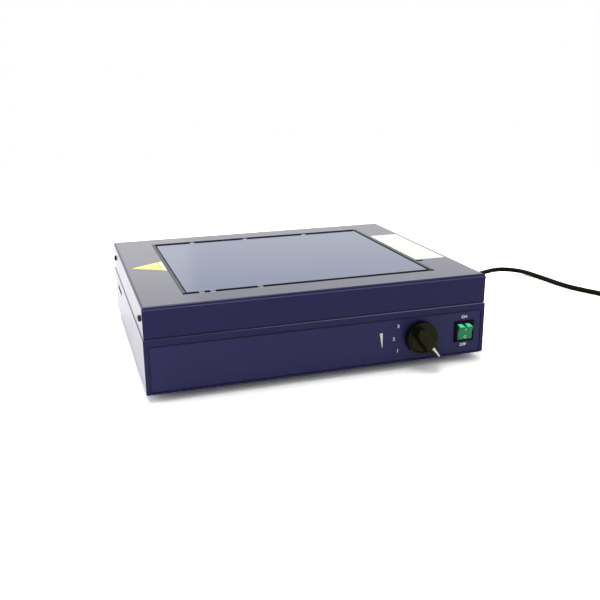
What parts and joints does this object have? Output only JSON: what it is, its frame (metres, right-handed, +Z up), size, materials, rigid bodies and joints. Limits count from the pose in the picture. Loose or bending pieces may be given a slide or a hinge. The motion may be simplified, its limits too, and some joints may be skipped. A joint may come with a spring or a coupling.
{
  "type": "uv transilluminator",
  "caption": "Low sheet-steel light box with a flush filter window in its top, lamps inside, a pointer knob and rocker switch on its front, and a mains inlet with a cord at its rear.",
  "frame": {"origin": "on the bench under the middle of the instrument, knob and fuse drawer included, cord left out", "axes": "+X to the right as seen from the front, +Y to the rear, +Z up"},
  "size_m": [0.7386, 0.4103, 0.0942],
  "materials": {
    "navy_paint": "satin navy-violet powder coat",
    "black_screw": "blackened steel",
    "black_rubber": "matte black rubber",
    "plated_steel": "zinc plated",
    "tray_steel": "grey coated steel",
    "spacer_aluminium": "bare",
    "filter_glass": "polished filter glass, blue-violet",
    "yellow_sticker": "printed vinyl",
    "white_sticker": "printed vinyl",
    "front_label_film": "fine-grained film",
    "lamp_tube": "coated glass tube with metal caps",
    "socket_plastic": "moulded",
    "reflector_aluminium": "bright rolled",
    "brass": "plain",
    "ballast_case": "moulded",
    "pot_case": "moulded",
    "shaft_metal": "turned",
    "knob_plastic": "satin moulded",
    "index_white": "painted line",
    "black_plastic": "moulded",
    "rocker_green": "translucent green",
    "fuse_glass": "clear tube",
    "cord_jacket": "moulded black"
  },
  "bodies": {
    "instrument": {"base_chassis": "navy_paint", "top_cover": "navy_paint", "cover_screws": "black_screw", "rubber_feet": "black_rubber", "foot_screws": "plated_steel", "foot_nuts": "plated_steel", "filter_tray": "tray_steel", "filter_rails": "navy_paint", "filter_gasket": "black_rubber", "filter_spacers": "spacer_aluminium", "filter_glass": "filter_glass", "hazard_triangle": "yellow_sticker", "white_label": "white_sticker", "front_label": "front_label_film", "lamp_1": "lamp_tube", "lamp_2": "lamp_tube", "lamp_3": "lamp_tube", "lamp_4": "lamp_tube", "lamp_5": "lamp_tube", "lamp_6": "lamp_tube", "lamp_sockets_left": "socket_plastic", "lamp_sockets_right": "socket_plastic", "socket_bracket_left": "tray_steel", "socket_bracket_right": "tray_steel", "reflector": "reflector_aluminium", "reflector_posts": "brass", "ballast_1": "ballast_case", "ballast_2": "ballast_case", "ballast_3": "ballast_case", "ballast_screws": "plated_steel", "dimmer_pot": "pot_case", "dimmer_washer": "plated_steel", "dimmer_nut": "plated_steel", "switch_housing": "black_plastic", "switch_terminals": "brass", "power_inlet": "black_plastic", "inlet_pins": "brass", "inlet_screws": "plated_steel", "inlet_nuts": "plated_steel", "earth_stud": "brass", "cord_connector": "cord_jacket", "cord": "cord_jacket", "cord_coil": "cord_jacket", "coil_tie": "cord_jacket", "mains_plug": "cord_jacket", "plug_blades": "brass"},
    "knob": {"dimmer_shaft": "shaft_metal", "intensity_knob": "knob_plastic", "knob_index_line": "index_white", "knob_set_screw": "shaft_metal"},
    "rocker": {"switch_rocker": "rocker_green"},
    "fuse_holder": {"fuse_drawer": "black_plastic", "fuse": "fuse_glass"}
  },
  "joints": [
    {"name": "knob_turn", "type": "hinge", "parent": "instrument", "child": "knob", "pos_m": [0.1035, -0.135, 0.034], "axis": [0, -1, 0], "range_deg": [0, 280]},
    {"name": "rocker_tilt", "type": "hinge", "parent": "instrument", "child": "rocker", "pos_m": [0.1545, -0.133, 0.034], "axis": [-1, 0, 0], "range_deg": [0, 20]},
    {"name": "fuse_drawer_slide", "type": "slide", "parent": "instrument", "child": "fuse_holder", "axis": [0, 1, 0], "range_m": [0, 0.014]}
  ]
}
